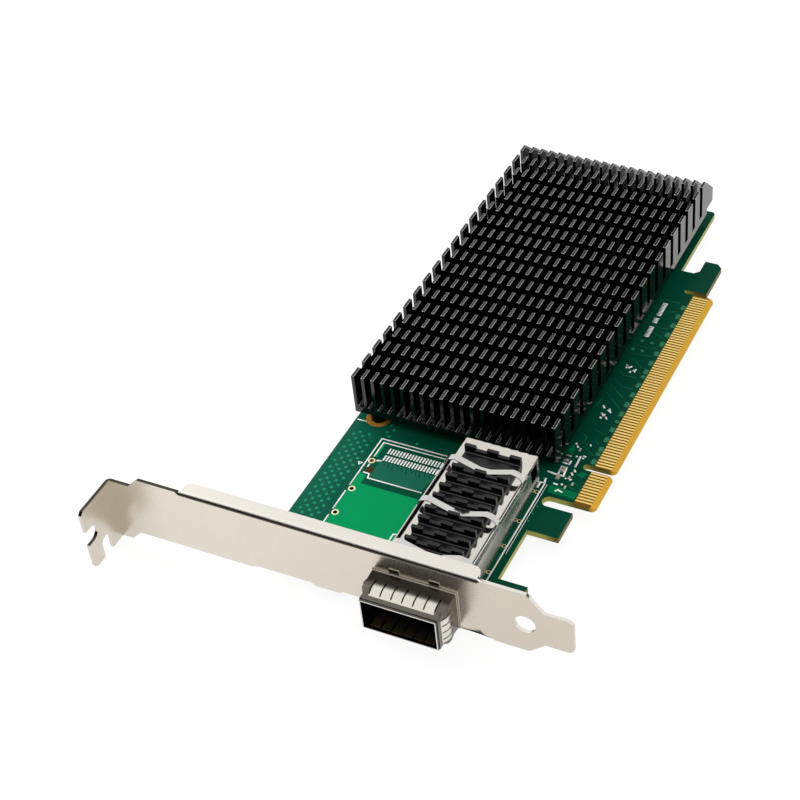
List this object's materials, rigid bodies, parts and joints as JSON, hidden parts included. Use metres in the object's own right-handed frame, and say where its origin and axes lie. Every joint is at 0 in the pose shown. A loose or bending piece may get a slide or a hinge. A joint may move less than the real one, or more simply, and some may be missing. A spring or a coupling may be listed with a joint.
{
  "type": "network interface card",
  "caption": "Low-profile expansion card with a finned heatsink, one pluggable-module port cage and a full-height slot bracket.",
  "frame": {"origin": "on the centre line of the key notch, at the outer edge of the finger tabs, on the component face of the board", "axes": "+X from the bracket towards the free end of the card, +Y away from the fingers, +Z out of the component face"},
  "size_m": [0.1793, 0.12, 0.0213],
  "materials": {
    "board": "green solder mask over glass-epoxy laminate",
    "gold_plate": "gold plate on nickel",
    "tinned_pad": "bare tin-finished copper pads",
    "black_anodised": "black anodised",
    "screw_steel": "nickel plate",
    "solder": "reflowed solder",
    "chip_laminate": "package laminate",
    "nickel_lid": "nickel plate on copper",
    "thermal_pad": "soft grey pad",
    "nickel_steel": "nickel-plated sheet",
    "spring_steel": "stainless spring sheet",
    "bracket_steel": "nickel-plated steel sheet",
    "black_plastic": "moulded liquid-crystal polymer",
    "resistor": "dark ceramic chip",
    "capacitor": "tan ceramic chip"
  },
  "bodies": {
    "root": {"circuit_board": "board", "fingers_component_side": "gold_plate", "fingers_solder_side": "gold_plate", "spare_port_pads": "tinned_pad", "main_heatsink": "black_anodised", "heatsink_standoffs": "black_anodised", "heatsink_screws": "screw_steel", "chip_ball_field": "solder", "chip_substrate": "chip_laminate", "chip_lid": "nickel_lid", "thermal_pad": "thermal_pad", "port_cage": "nickel_steel", "shielding_collar": "spring_steel", "host_connector": "black_plastic", "cage_heatsink": "black_anodised", "heatsink_clip": "spring_steel", "bracket": "bracket_steel", "bracket_screws": "screw_steel", "chip_resistor": "resistor", "ceramic_capacitors": "capacitor", "small_chip_parts": "resistor"}
  },
  "joints": []
}
